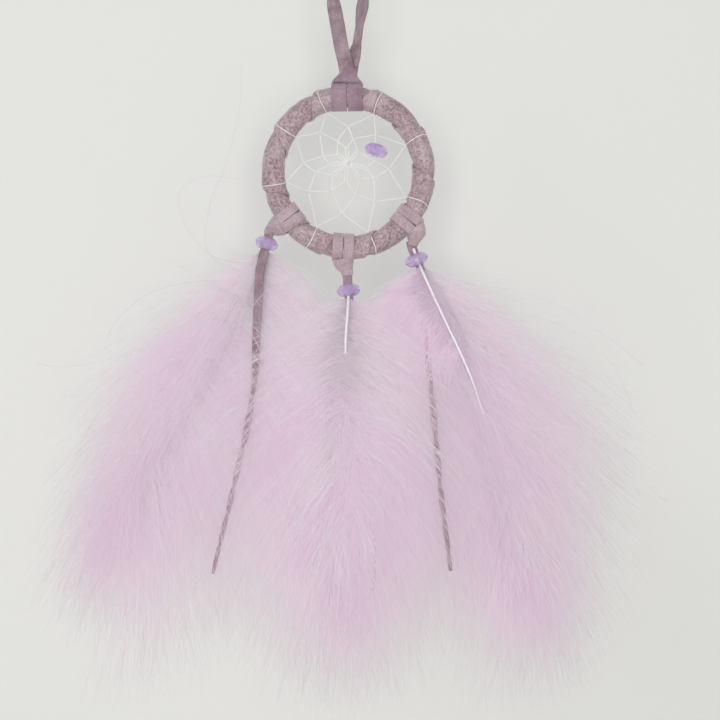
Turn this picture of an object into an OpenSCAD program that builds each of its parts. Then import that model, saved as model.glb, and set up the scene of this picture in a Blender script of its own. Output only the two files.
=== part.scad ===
/* [Hoop] */
// Radius of the hoop's centreline
hoop_r = 26; // [25:0.5:28]
// Radius of the hoop's section over its suede wrap
wrap_r = 4; // [3.6:0.1:4.2]
// Radius of the bare ring inside the wrap
core_r = 2.5; // [2:0.1:2.8]
// Height of the hanging point above the hoop's centre
hang_h = 72; // [70:1:76]

/* [Laces] */
// Width of the hanger's flat lace
hanger_w = 5; // [4:0.5:5.5]
// Width of a pendant's flat lace
lace_w = 3.4; // [3:0.1:3.6]
// Thickness of the suede
suede_t = 1.2; // [1:0.1:1.3]

/* [Beads] */
// Outer radius of a bead
bead_r = 4.15; // [3.8:0.05:4.2]
// Height of a bead along its hole
bead_h = 4.2; // [3.6:0.1:4.4]
// Radius of the hole in a pendant's bead
bead_bore_r = 2; // [1.95:0.05:2.1]
// Radius of the hole in the web's bead
web_bore_r = 1.4; // [1.35:0.05:1.6]

/* [Web] */
// Radius of the web's thread
thread_r = 0.25; // [0.2:0.01:0.28]

/* [Plumes] */
// Full thickness of a plume's fluff
plume_t = 12; // [8:1:14]

/* [Hidden] */
$fn = 64;

suede = [0.60, 0.50, 0.54];
suede_dark = [0.52, 0.42, 0.47];
lilac = [0.83, 0.72, 0.85];
lilac_glass = [0.72, 0.58, 0.84];
quill_white = [0.93, 0.88, 0.92];

// A lace lies this far off what it wraps, and pieces that turn against each other keep
// joint_gap apart at their pivot.
band_gap = 0.05;
joint_gap = 0.9;
tail_r = 1;
neck_r = 1.1;
// Distance from a pendant's bead to its lower pivot, and from there to its upper one.
link = 2.4;
quill_r = 0.45;
// The sway of the crossing threads to the front and back of the web's plane.
weave = 0.3;

// From here, places are x to the right and z up from the hoop's centre, y to the back.
// Each pendant has the middle of its bead, and the lean of its lace from straight down,
// positive towards the right.
left_bead_at = [-28.3, 0, -24.6];
middle_bead_at = [0, 0, -40.8];
right_bead_at = [23.6, 0, -30.2];
left_lean = -15;
middle_lean = 5;
right_lean = 21;
left_hitch_angle = 218;
middle_hitch_angle = 266;
right_hitch_angle = 321;
top_hitch_angle = 91;
neck_bottom = 35.5;
neck_top = 38.5;
leg_bottom = 38.8;
web_bead_at = [9.6, 0, 7.6];
web_bead_tilt = 16;

// Where the thread goes round the hoop, in degrees anticlockwise from the right.
anchor_angles = [110, 146, 189, 240, 288, 336, 25, 66];
// The meeting points of each row of the web with the next, between one anchor and the next.
row_one = [[-9.9, 13.7], [-15.7, 3.4], [-13.7, -6.7], [-2.4, -14.3], [9.2, -10],
    [14, 1.2], [9.4, 13], [0, 15.9]];
row_two = [[-8.8, 5.5], [-11.4, 0.1], [-5.7, -6.4], [2.5, -7.6], [8.8, -2],
    [9.2, 3.9], [1.6, 11.6], [-3.8, 10.8]];
row_three = [[-6.5, 2.6], [-5.4, -0.9], [-0.9, -2.9], [3.7, -2], [6, 1.4],
    [3.4, 7.2], [-0.6, 8.3], [-3.8, 6.2]];
hub_at = [-0.2, 3.4];
hub_r = 0.7;

// The laces' routes, from the hoop's side to the knot and from the bead to the cut end.
left_leg = [[-1.4, -0.9, leg_bottom], [-2.6, -0.9, 44], [-3.8, -0.6, 51], [-5.2, -0.3, 59],
    [-5.6, 0, 64.5], [-4.4, 0, 70], [-1.8, 0, 74]];
right_leg = [[1.4, 0.9, leg_bottom], [2.8, 0.9, 44], [4, 0.6, 52], [5.2, 0.3, 60],
    [5.6, 0, 64.5], [4.4, 0, 70], [1.8, 0, 74]];
left_route = [[-29.6, -1.2, -29.4], [-30.4, -2.7, -34], [-30.8, -3.8, -41], [-31.4, -5.6, -55],
    [-32.2, -7.4, -72], [-34.6, -7.7, -88], [-37.6, -7.8, -101], [-41, -7.8, -116],
    [-44, -7.6, -128], [-46.4, -7.2, -138]];
middle_route = [[0.4, -1.2, -45.4], [0.8, -3.3, -50], [1.6, -4.5, -56], [4, -6.6, -74],
    [5.8, -7.7, -90], [7.4, -7.8, -114], [8.4, -7.7, -128], [8.9, -7.5, -136],
    [8.2, -7.2, -144]];
right_route = [[25.4, -1.2, -34.6], [26.2, -2.7, -40], [26.4, -3.9, -47], [26.9, -5.6, -60],
    [28.6, -7.2, -78], [30.6, -7.7, -98], [32, -7.8, -113], [33.8, -7.6, -127],
    [35, -7.2, -137]];
left_quill_tip = [-52, 0.5, -70];
middle_quill_tip = [-1, 0.5, -92];
right_quill_tip = [42, 0.5, -72];

// The bulges of each plume: [x, z, radius, thickness as a share of plume_t].
left_lobes = [[-31.2, -35, 2, 0.17], [-73, -75, 31, 1], [-67, -132, 36, 1]];
middle_lobes = [[0.7, -49, 2, 0.1], [0, -95, 13, 1], [0, -165, 20, 1]];
right_lobes = [[27.2, -40, 2, 0.17], [73, -78, 33, 1], [66, -140, 37, 1]];

function unit(v) = v / norm(v);
function down(lean) = [sin(lean), 0, -cos(lean)];
function heading(p, i) = unit(p[min(i + 1, len(p) - 1)] - p[max(i - 1, 0)]);
function across(d) = unit(cross(d, [0, 1, 0]));
function ring_of(p, d, w, t, turn, n) =
    let (a = across(d), b = cross(a, d))
    [for (k = [0:n - 1])
        let (u = (k + 0.5) * 360 / n, s = w * cos(u), h = t * sin(u))
        p + a * (s * cos(turn) - h * sin(turn)) + b * (s * sin(turn) + h * cos(turn))];
function polar(a, r) = [r * cos(a), r * sin(a)];
function flat(p, y) = [p[0], y, p[1]];
function pivot(bead_at, lean, n) = bead_at - down(lean) * link * n;
// The points of one row of the web, from each outer point in to the next inner one and back.
function row(outer, inner) = [for (i = [0:len(outer) - 1])
    each [flat(outer[i], -weave), flat(inner[i], weave)]];
function row_end(outer) = [flat(outer[0], -3 * weave)];

// A closed tube through hand-placed points, w and t its half width and half thickness.
module sweep(p, w, t, turn_a = 0, turn_b = 0, n = 8, taper = 1) {
    last = len(p) - 1;
    points = [for (i = [0:last])
        let (f = i / last, s = 1 + (taper - 1) * f)
        each ring_of(p[i], heading(p, i), w * s, t * s, turn_a + (turn_b - turn_a) * f, n)];
    sides = [for (i = [0:last - 1], k = [0:n - 1])
        let (a = i * n + k, b = i * n + (k + 1) % n)
        each [[a, b, b + n], [a, b + n, a + n]]];
    start_cap = [for (k = [n - 1:-1:0]) k];
    end_cap = [for (k = [0:n - 1]) last * n + k];
    polyhedron(points, concat([start_cap], sides, [end_cap]));
}

module from_hoop() {
    translate([0, 0, -hang_h]) children();
}

module suede_lace() {
    color(suede) children();
}

// Turns a shape that stands on +z so that it points down the lace.
module along_lace(at, lean) {
    translate(at) rotate([0, 180 - lean, 0]) children();
}

// One turn of lace round the hoop, centred on an angle.
module band(angle, width) {
    half = width / 2 / hoop_r * 180 / PI;
    rotate([90, -(angle - half), 0])
        rotate_extrude(angle = 2 * half)
            translate([hoop_r, 0]) difference() {
                circle(wrap_r + band_gap + suede_t);
                circle(wrap_r + band_gap);
            }
}

// The folded loop of the hitch, from the hoop's rim out to where the lace leaves.
module bight(angle, rim_w, end_at, end_w, lean) {
    hull() {
        rotate([0, -angle, 0]) translate([hoop_r + wrap_r + 0.4, 0, 0])
            cube([0.8, 3.4, rim_w], center = true);
        translate(end_at) rotate([0, -lean, 0])
            cube([end_w, 2 * suede_t, 0.8], center = true);
    }
}

module pendant_hitch(angle, bead_at, lean) {
    half_turn = (lace_w + 0.1) / hoop_r * 90 / PI;
    exit_at = pivot(bead_at, lean, 2) - down(lean) * (joint_gap + 0.4);
    from_hoop() suede_lace() {
        band(angle - half_turn, lace_w);
        band(angle + half_turn, lace_w);
        bight(angle, 1.6 * lace_w, exit_at, 2.2, lean);
    }
}

module pendant_neck(bead_at, lean) {
    from_hoop() suede_lace() along_lace(pivot(bead_at, lean, 2), lean)
        cylinder(h = link - joint_gap, r = neck_r);
}

module pendant_tail(bead_at, lean, route) {
    in_bead = bead_at + [0, -0.55, 0];
    from_hoop() color(suede_dark)
        sweep(concat([pivot(bead_at, lean, 1), in_bead], route), tail_r, tail_r);
}

module pendant_quill(bead_at, lean, tip) {
    in_bead = bead_at + [0, 1.2, 0] - down(lean) * 0.3;
    below_bead = bead_at + [0, 1.2, 0] + down(lean) * 0.75 * bead_h;
    from_hoop() color(quill_white)
        sweep([in_bead, below_bead, tip], quill_r, quill_r, taper = 0.4);
}

module bead_shape(bore_r) {
    face_r = 0.62 * bead_r;
    edge = 0.14 * bead_h;
    top = bead_h / 2;
    rotate_extrude()
        polygon([[bore_r, -top], [face_r, -top], [bead_r, -edge], [bead_r, edge],
            [face_r, top], [bore_r, top]]);
}

module pendant_bead(bead_at, lean) {
    from_hoop() color(lilac_glass) along_lace(bead_at, lean) bead_shape(bead_bore_r);
}

// One soft bulge of a plume: a disc that thins towards its rim.
module lobe(x, z, r, t) {
    translate([x, 0, z]) rotate([90, 0, 0]) {
        cylinder(h = t / 3, r = r, center = true, $fn = 48);
        cylinder(h = t, r = 0.7 * r, center = true, $fn = 48);
    }
}

module plume(lobes) {
    from_hoop() color(lilac) hull()
        for (l = lobes) lobe(l[0], l[1], l[2], l[3] * plume_t);
}

module ring_core() {
    from_hoop() color("tan") rotate([90, 0, 0])
        rotate_extrude() translate([hoop_r, 0]) circle(core_r);
}

module ring_wrap() {
    from_hoop() color(suede) rotate([90, 0, 0])
        rotate_extrude() translate([hoop_r, 0]) difference() {
            circle(wrap_r);
            circle(core_r + band_gap);
        }
}

// The tucked end of the wrap, lying on the front of the hoop right of the hitch.
module wrap_end() {
    from_hoop() color(suede_dark) rotate([0, 17, 0]) translate([0, -wrap_r - 0.45, hoop_r])
        cube([3, 0.8, 5], center = true);
}

module top_hitch() {
    half_turn = (hanger_w + 0.2) / hoop_r * 90 / PI;
    neck_at = [0, 0, neck_bottom - joint_gap - 0.4];
    from_hoop() suede_lace() {
        band(top_hitch_angle - half_turn, hanger_w);
        band(top_hitch_angle + half_turn, hanger_w);
        bight(top_hitch_angle, 1.8 * hanger_w, neck_at, hanger_w, 0);
    }
}

module hanger_neck() {
    height = neck_top - neck_bottom - 0.3;
    from_hoop() suede_lace() translate([0, 0, neck_bottom + height / 2])
        cube([hanger_w, 2 * suede_t, height], center = true);
}

// One leg of the hanger, flat to the front at the hoop and turned on edge at the knot.
module hanger_leg(route) {
    from_hoop() suede_lace() sweep(route, hanger_w / 2, suede_t / 2, 0, 90);
}

module hanger_left_leg() {
    hanger_leg(left_leg);
}

module hanger_right_leg() {
    hanger_leg(right_leg);
}

// The lace's two ends tied together above the loop, resting on the hook.
module hang_knot() {
    knot_r = 4.2;
    color(suede) translate([0, 0, knot_r]) rotate_extrude() intersection() {
        translate([1.2, 0]) circle(knot_r);
        translate([0, -knot_r]) square([6, 2 * knot_r]);
    }
}

module knot_ends() {
    color(suede_dark) for (s = [-1, 1])
        translate([1.8 * s, 0, 7]) rotate([0, 14 * s, 0])
            translate([-suede_t / 2, -hanger_w / 2, 0]) cube([suede_t, hanger_w, 8]);
}

module web_thread() {
    rim_r = hoop_r - wrap_r - 0.1;
    anchors = [for (a = anchor_angles) polar(a, rim_r)];
    route = concat(row(anchors, row_one), row_end(anchors), row(row_one, row_two),
        row_end(row_one), row(row_two, row_three), row_end(row_two));
    from_hoop() color("white") sweep(route, thread_r, thread_r, n = 6);
}

// The innermost turns, drawn together in a small knot off the web's middle.
module web_hub() {
    from_hoop() color("white") {
        translate(flat(hub_at, weave)) sphere(hub_r);
        for (p = row_three) {
            spoke = p - hub_at;
            translate(flat(hub_at, weave))
                rotate([0, 90 - atan2(spoke[1], spoke[0]), 0])
                    cylinder(h = norm(spoke), r = thread_r, $fn = 16);
        }
    }
}

module thread_ties() {
    from_hoop() color("white") for (a = anchor_angles)
        rotate([0, -a, 0]) translate([hoop_r, 0, 0])
            rotate_extrude($fn = 48) translate([wrap_r + thread_r, 0]) circle(thread_r, $fn = 16);
}

module web_bead() {
    from_hoop() color(lilac_glass) translate(web_bead_at) rotate([0, web_bead_tilt, 0])
        bead_shape(web_bore_r);
}

module left_hitch() {
    pendant_hitch(left_hitch_angle, left_bead_at, left_lean);
}

module left_neck() {
    pendant_neck(left_bead_at, left_lean);
}

module left_tail() {
    pendant_tail(left_bead_at, left_lean, left_route);
}

module left_quill() {
    pendant_quill(left_bead_at, left_lean, left_quill_tip);
}

module left_plume() {
    plume(left_lobes);
}

module left_bead() {
    pendant_bead(left_bead_at, left_lean);
}

module middle_hitch() {
    pendant_hitch(middle_hitch_angle, middle_bead_at, middle_lean);
}

module middle_neck() {
    pendant_neck(middle_bead_at, middle_lean);
}

module middle_tail() {
    pendant_tail(middle_bead_at, middle_lean, middle_route);
}

module middle_quill() {
    pendant_quill(middle_bead_at, middle_lean, middle_quill_tip);
}

module middle_plume() {
    plume(middle_lobes);
}

module middle_bead() {
    pendant_bead(middle_bead_at, middle_lean);
}

module right_hitch() {
    pendant_hitch(right_hitch_angle, right_bead_at, right_lean);
}

module right_neck() {
    pendant_neck(right_bead_at, right_lean);
}

module right_tail() {
    pendant_tail(right_bead_at, right_lean, right_route);
}

module right_quill() {
    pendant_quill(right_bead_at, right_lean, right_quill_tip);
}

module right_plume() {
    plume(right_lobes);
}

module right_bead() {
    pendant_bead(right_bead_at, right_lean);
}

hang_knot();
knot_ends();
hanger_left_leg();
hanger_right_leg();
hanger_neck();
ring_core();
ring_wrap();
wrap_end();
top_hitch();
left_hitch();
middle_hitch();
right_hitch();
web_thread();
web_hub();
thread_ties();
web_bead();
left_neck();
left_tail();
left_quill();
left_plume();
left_bead();
middle_neck();
middle_tail();
middle_quill();
middle_plume();
middle_bead();
right_neck();
right_tail();
right_quill();
right_plume();
right_bead();
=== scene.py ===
import math
import bmesh
import bpy
from mathutils import Matrix, Vector, noise


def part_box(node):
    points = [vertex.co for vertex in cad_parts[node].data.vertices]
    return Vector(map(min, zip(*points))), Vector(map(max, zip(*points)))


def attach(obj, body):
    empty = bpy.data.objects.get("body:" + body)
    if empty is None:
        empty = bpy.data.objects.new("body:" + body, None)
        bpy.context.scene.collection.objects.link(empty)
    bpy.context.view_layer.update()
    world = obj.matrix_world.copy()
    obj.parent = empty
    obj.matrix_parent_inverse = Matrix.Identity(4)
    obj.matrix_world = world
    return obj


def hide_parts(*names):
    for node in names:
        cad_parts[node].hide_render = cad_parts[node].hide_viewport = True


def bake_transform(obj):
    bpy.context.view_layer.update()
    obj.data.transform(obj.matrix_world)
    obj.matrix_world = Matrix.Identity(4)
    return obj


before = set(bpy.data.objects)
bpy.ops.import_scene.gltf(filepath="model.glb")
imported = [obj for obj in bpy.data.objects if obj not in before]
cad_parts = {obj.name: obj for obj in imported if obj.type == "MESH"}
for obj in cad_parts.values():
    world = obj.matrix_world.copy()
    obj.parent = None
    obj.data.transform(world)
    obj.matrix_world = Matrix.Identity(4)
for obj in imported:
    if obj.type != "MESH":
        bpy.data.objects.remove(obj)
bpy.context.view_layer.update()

# The view: a long lens level with the middle of the plumes, square on to the hoop, with
# the hanging loop's knot just above its top edge.
scene = bpy.context.scene
MM = 0.001
ring_low, ring_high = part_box("ring_core")
hoop_centre = (ring_low + ring_high) / 2


def place(x, y, z):
    """A point in metres from millimetres right, back and up from the hoop's centre."""
    return hoop_centre + Vector((x, y, z)) * MM


view_width = 249 * MM
lens = 100
sensor = 36
view_middle = place(4, 0, -64.9)
camera_data = bpy.data.cameras.new("camera")
camera_data.lens = lens
camera_data.sensor_width = sensor
camera_data.clip_start = 0.01
camera = bpy.data.objects.new("camera", camera_data)
camera.location = view_middle + Vector((0, -view_width * lens / sensor, 0))
camera.rotation_euler = (math.pi / 2, 0, 0)
scene.collection.objects.link(camera)
scene.camera = camera

# The studio: a pale wall a hand's width behind the trinket and a floor well below it. A soft
# lamp shines from the viewer's side, with a second up to the left and an even light all
# round. The wall is seen from its front only.
scene.view_settings.view_transform = "Standard"


def link(name, mesh):
    piece = bpy.data.objects.new(name, mesh)
    scene.collection.objects.link(piece)
    return piece


def new_material(name):
    material = bpy.data.materials.new(name)
    material.use_nodes = True
    nodes = material.node_tree.nodes
    return material, nodes, material.node_tree.links, nodes["Principled BSDF"]


def flat_panel(name, corners, material):
    mesh = bpy.data.meshes.new(name)
    mesh.from_pydata(corners, [], [(0, 1, 2, 3)])
    mesh.materials.append(material)
    panel = link(name, mesh)
    return panel


wall_paint, nodes, links, shader = new_material("wall_paint")
shader.inputs["Base Color"].default_value = (0.86, 0.86, 0.83, 1)
shader.inputs["Roughness"].default_value = 0.9
shader.inputs["Specular IOR Level"].default_value = 0.1
clear = nodes.new("ShaderNodeBsdfTransparent")
facing = nodes.new("ShaderNodeNewGeometry")
one_sided = nodes.new("ShaderNodeMixShader")
links.new(facing.outputs["Backfacing"], one_sided.inputs["Fac"])
links.new(shader.outputs["BSDF"], one_sided.inputs[1])
links.new(clear.outputs["BSDF"], one_sided.inputs[2])
links.new(one_sided.outputs["Shader"], nodes["Material Output"].inputs["Surface"])

floor_paint, nodes, links, shader = new_material("floor_paint")
shader.inputs["Base Color"].default_value = (0.60, 0.60, 0.58, 1)
shader.inputs["Roughness"].default_value = 0.9

wall_y = 0.125
wall_half = 1.5
floor_z = -0.55
flat_panel("wall", [(-wall_half, wall_y, floor_z), (wall_half, wall_y, floor_z),
                    (wall_half, wall_y, wall_half), (-wall_half, wall_y, wall_half)], wall_paint)
flat_panel("floor", [(-wall_half, -wall_half, floor_z), (wall_half, -wall_half, floor_z),
                     (wall_half, wall_half, floor_z), (-wall_half, wall_half, floor_z)],
           floor_paint)


def soft_lamp(name, at, aim, size, power):
    data = bpy.data.lights.new(name, "AREA")
    data.size = size
    data.energy = power
    lamp = bpy.data.objects.new(name, data)
    lamp.location = at
    lamp.rotation_euler = (Vector(aim) - Vector(at)).to_track_quat("-Z", "Y").to_euler()
    scene.collection.objects.link(lamp)


soft_lamp("key_lamp", (0, -0.95, -0.13), view_middle, 0.22, 4.1)
soft_lamp("side_lamp", (-0.75, -0.95, 0.45), view_middle, 0.5, 2.0)
world = bpy.data.worlds.new("room_light")
scene.world = world
world.use_nodes = True
world.node_tree.nodes["Background"].inputs["Color"].default_value = (0.97, 0.98, 1.0, 1)
world.node_tree.nodes["Background"].inputs["Strength"].default_value = 0.5

# The hanger: one flat suede lace, folded in half, with both halves rising from the hoop
# and tied together above. Suede is cut strip, so its edges are square and its nap short.


def smooth_path(points, step):
    """Points on a smooth curve through the given ones, about one step apart."""
    ends = [2 * points[0] - points[1]] + points + [2 * points[-1] - points[-2]]
    path = []
    for a, b, c, d in zip(ends, ends[1:], ends[2:], ends[3:]):
        count = max(2, round((c - b).length / step))
        for i in range(count):
            t = i / count
            path.append(0.5 * (2 * b + (c - a) * t + (2 * a - 5 * b + 4 * c - d) * t ** 2
                               + (3 * b - a - 3 * c + d) * t ** 3))
    return path + [points[-1]]


def even(values, t):
    """The value a share t of the way through a list, between its neighbours."""
    at = t * (len(values) - 1)
    i = min(int(at), len(values) - 2)
    return values[i] + (values[i + 1] - values[i]) * (at - i)


def strip_section(half_width, half_thick, corner=0.35):
    """The outline of a flat strip with eased edges, anticlockwise."""
    ring = []
    for sx, sy in ((1, 1), (-1, 1), (-1, -1), (1, -1)):
        c = corner * half_thick
        turns = (0, 1, 2) if sx * sy > 0 else (2, 1, 0)
        for k in turns:
            a = k * math.pi / 4
            ring.append((sx * (half_width - c + c * math.cos(a)),
                         sy * (half_thick - c + c * math.sin(a))))
        if sy > 0 and sx > 0:
            ring += [(half_width * f, half_thick) for f in (0.5, 0, -0.5)]
        if sy < 0 and sx < 0:
            ring += [(half_width * f, -half_thick) for f in (-0.5, 0, 0.5)]
    return ring


def sweep(name, path, widths, thicks, turns, material, face=Vector((0, 1, 0)), section=None):
    """A closed strip along a path. Width, thickness and turn are lists spread evenly over
    it, and face is the direction that an unturned strip's flat side looks along."""
    verts, faces, runs = [], [], []
    run, side = 0, None
    for i, p in enumerate(path):
        t = i / (len(path) - 1)
        ahead = (path[min(i + 1, len(path) - 1)] - path[max(i - 1, 0)]).normalized()
        run += (p - path[i - 1]).length if i else 0
        across = ahead.cross(face).normalized()
        across = across if side is None or across.dot(side) > 0 else -across
        side = across
        turn = Matrix.Rotation(math.radians(even(turns, t)), 3, ahead)
        a, b = turn @ across, turn @ across.cross(ahead).normalized()
        outline = (section or strip_section)(even(widths, t) / 2, even(thicks, t) / 2)
        verts += [p + a * x + b * y for x, y in outline]
        runs.append(run)
    n = len(verts) // len(path)
    for i in range(len(path) - 1):
        for k in range(n):
            q, r = i * n + k, i * n + (k + 1) % n
            faces.append((q, r, r + n, q + n))
    faces.append(tuple(range(n - 1, -1, -1)))
    faces.append(tuple(range((len(path) - 1) * n, len(path) * n)))
    mesh = bpy.data.meshes.new(name)
    mesh.from_pydata(verts, [], faces)
    grain = mesh.uv_layers.new(name="grain").data
    for polygon in mesh.polygons:
        for corner in polygon.loop_indices:
            v = mesh.loops[corner].vertex_index
            k = v % n
            around = 1.0 if k == 0 and any(mesh.loops[c].vertex_index % n == n - 1
                                           for c in polygon.loop_indices) else k / n
            grain[corner].uv = (runs[v // n], around * 0.012)
    mesh.polygons.foreach_set("use_smooth", [True] * len(mesh.polygons))
    mesh.materials.append(material)
    mesh.update()
    turn_outward(mesh)
    return link(name, mesh)


def turn_outward(mesh):
    work = bmesh.new()
    work.from_mesh(mesh)
    bmesh.ops.recalc_face_normals(work, faces=work.faces)
    work.to_mesh(mesh)
    work.free()


def suede(name, light, dark, nap_scale, nap_depth, nap_shade_share=0.5):
    """Dyed split suede in blotchy tones, with short matted nap that catches the light in flecks.
    Part of the flecks is painted light and shade: the noise that raises the nap also colours its
    tips lighter and its hollows darker.
    """
    material, nodes, links, shader = new_material(name)
    coords = nodes.new("ShaderNodeTexCoord")
    nap = nodes.new("ShaderNodeTexNoise")
    nap.inputs["Scale"].default_value = nap_scale
    nap.inputs["Detail"].default_value = 4
    nap.inputs["Roughness"].default_value = 0.65
    blotch = nodes.new("ShaderNodeTexNoise")
    blotch.inputs["Scale"].default_value = nap_scale / 9
    blotch.inputs["Detail"].default_value = 3
    # Painted light and shade: this share of the colour follows the nap noise that also drives the
    # bump, so raised nap comes out lighter and its hollows darker. The rest is coarse blotches of
    # tone.
    both = nodes.new("ShaderNodeMix")
    both.inputs["Factor"].default_value = nap_shade_share
    tint = nodes.new("ShaderNodeValToRGB")
    tint.color_ramp.elements[0].position = 0.34
    tint.color_ramp.elements[0].color = (*dark, 1)
    tint.color_ramp.elements[1].position = 0.66
    tint.color_ramp.elements[1].color = (*light, 1)
    bump = nodes.new("ShaderNodeBump")
    bump.inputs["Strength"].default_value = 0.7
    bump.inputs["Distance"].default_value = nap_depth
    for pattern in (nap, blotch):
        links.new(coords.outputs["Object"], pattern.inputs["Vector"])
    links.new(blotch.outputs["Fac"], both.inputs[2])
    links.new(nap.outputs["Fac"], both.inputs[3])
    links.new(both.outputs[0], tint.inputs["Fac"])
    links.new(tint.outputs["Color"], shader.inputs["Base Color"])
    links.new(nap.outputs["Fac"], bump.inputs["Height"])
    links.new(bump.outputs["Normal"], shader.inputs["Normal"])
    shader.inputs["Roughness"].default_value = 0.95
    shader.inputs["Specular IOR Level"].default_value = 0.15
    shader.inputs["Sheen Weight"].default_value = 0.35
    shader.inputs["Sheen Roughness"].default_value = 0.5
    return material


lace_suede = suede("lace_suede", (0.46, 0.34, 0.38), (0.20, 0.13, 0.155), 2600, 0.00012)
smooth_suede = suede("smooth_suede", (0.44, 0.315, 0.37), (0.22, 0.14, 0.18), 1500, 0.0001, 0.5)
worn_suede = suede("worn_suede", (0.62, 0.485, 0.52), (0.34, 0.24, 0.275), 1700, 0.00014, 0.6)

hanger_width = 5 * MM
hanger_thick = 1.15 * MM
lace_step = 0.6 * MM
leg_bottom = 38.8
left_leg = [place(*p) for p in (
    (-1.4, -0.9, leg_bottom), (-2.6, -0.9, 44), (-3.8, -0.6, 51), (-5.2, -0.3, 59),
    (-5.6, 0, 64.5), (-4.4, 0, 70), (-1.8, 0, 74))]
right_leg = [place(*p) for p in (
    (1.4, 0.9, leg_bottom), (2.8, 0.9, 44), (4, 0.6, 52), (5.2, 0.3, 60),
    (5.6, 0, 64.5), (4.4, 0, 70), (1.8, 0, 74))]


for side, route, turns in (("left", left_leg, (0, 4, 8, 20, 62, 88, 90)),
                           ("right", right_leg, (-12, -62, -66, -40, -64, -88, -90))):
    path = smooth_path(route, lace_step)
    leg = sweep(f"hanger_{side}_lace", path, [hanger_width] * 2, [hanger_thick] * 2, turns,
                lace_suede)
    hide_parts(f"hanger_{side}_leg")
    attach(leg, "hanger")

# The pendants' laces: narrower strips of the same suede, which come out of the beads and
# hang free. Each has twisted on itself as it dried, down to its cut end.
bead_places = {"left": (-28.3, -24.6), "middle": (0, -40.8), "right": (23.6, -30.2)}
lace_leans = {"left": -15, "middle": 5, "right": 21}
lace_routes = {
    "left": ((-29.6, -1.2, -29.4), (-30.4, -2.7, -34), (-30.8, -3.8, -41), (-31.4, -5.6, -55),
             (-32.2, -7.4, -72), (-34.6, -7.7, -88), (-37.6, -7.8, -101), (-41, -7.8, -116),
             (-44, -7.6, -128), (-46.4, -7.2, -138)),
    "middle": ((0.4, -1.2, -45.4), (0.8, -3.3, -50), (1.6, -4.5, -56), (4, -6.6, -74),
               (5.8, -7.7, -90), (7.4, -7.8, -114), (8.4, -7.7, -128), (8.9, -7.5, -136),
               (8.2, -7.2, -144)),
    "right": ((25.4, -1.2, -34.6), (26.2, -2.7, -40), (26.4, -3.9, -47), (26.9, -5.6, -60),
              (28.6, -7.2, -78), (30.6, -7.7, -98), (32, -7.8, -113), (33.8, -7.6, -127),
              (35, -7.2, -137)),
}
lace_turns = {"left": (0, 5, 12, 60, 200, 420, 700, 1000),
              "middle": (10, 90, 200, 380, 600, 850, 1100),
              "right": (20, 160, 330, 540, 760, 1000, 1260)}
lace_widths = {"left": (3.0, 3.0, 2.7, 2.3, 2.0, 1.8, 1.5, 1.1),
               "middle": (3.0, 2.6, 2.2, 2.0, 1.8, 1.6, 1.2),
               "right": (2.8, 2.3, 2.0, 1.9, 1.8, 1.7, 1.2)}
lace_thicks = (1.25, 1.2, 1.1, 1.0)
lace_in_bore = -0.55
for side, route in lace_routes.items():
    x, z = bead_places[side]
    path = smooth_path([place(x, lace_in_bore, z)] + [place(*p) for p in route], lace_step)
    tail = sweep(f"{side}_lace", path, [w * MM for w in lace_widths[side]],
                 [t * MM for t in lace_thicks], lace_turns[side], lace_suede)
    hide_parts(f"{side}_tail")
    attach(tail, f"{side}_drop")

# The ring: a bare metal hoop that gives the trinket its shape, out of sight inside the wrap.
bare_ring, nodes, links, shader = new_material("bare_ring")
shader.inputs["Base Color"].default_value = (0.62, 0.47, 0.22, 1)
shader.inputs["Metallic"].default_value = 1
shader.inputs["Roughness"].default_value = 0.35
coords = nodes.new("ShaderNodeTexCoord")
scuffs = nodes.new("ShaderNodeTexNoise")
scuffs.inputs["Scale"].default_value = 900
bump = nodes.new("ShaderNodeBump")
bump.inputs["Strength"].default_value = 0.15
bump.inputs["Distance"].default_value = 0.00005
links.new(coords.outputs["Object"], scuffs.inputs["Vector"])
links.new(scuffs.outputs["Fac"], bump.inputs["Height"])
links.new(bump.outputs["Normal"], shader.inputs["Normal"])
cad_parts["ring_core"].data.materials.clear()
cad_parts["ring_core"].data.materials.append(bare_ring)

# The wrap: one strip of hairy split suede wound round the ring in ten turns. Each turn laps
# over the one before, so a stepped edge crosses the hoop's front at a slant at every turn.
ring_radius = 26
wrap_radius = 3.95
strip_thick = 0.8
edge_thick = 0.1
strip_turns = 10
steps_round = 80
steps_across = 34
lap = 0.16          # share of the strip's width that the next turn covers
lap_step = 0.85     # how far its covered side lies below its open side
lap_rise = 0.4      # share of the width over which it climbs that step
slope = 0.22
edge_drop = 0.32
lip = 0.3           # the open edge curls up this much
lip_from = 0.86
ragged = 0.9        # how far its cut edge wanders
ragged_from = 0.93
least_radius = 2.6
front_lag = 5
edge_angles = (-7, 29.4, 71, 112.7, 147.6, 191.4, 222, 251, 281, 318)
rough_suede = suede("rough_suede", (0.68, 0.54, 0.57), (0.22, 0.14, 0.165), 1150, 0.0004, 0.7)


def edge_angle(turn):
    """Where on the hoop the wrap's edge is after some number of turns, in degrees."""
    whole = math.floor(turn)
    share = turn - whole
    count = len(edge_angles)
    a = edge_angles[whole % count] + 360 * (whole // count)
    b = edge_angles[(whole + 1) % count] + 360 * ((whole + 1) // count)
    return a + (b - a) * share


def on_hoop(angle, around, radius):
    """A point on the hoop's tube: angle along it, and around it from its outside to the front."""
    out = ring_radius + radius * math.cos(math.radians(around))
    return place(out * math.cos(math.radians(angle)), -radius * math.sin(math.radians(around)),
                 out * math.sin(math.radians(angle)))


def noise_at(point, size, seed=0):
    return noise.noise(point / (size * MM) + Vector((seed, 2 * seed, 5)))


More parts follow.
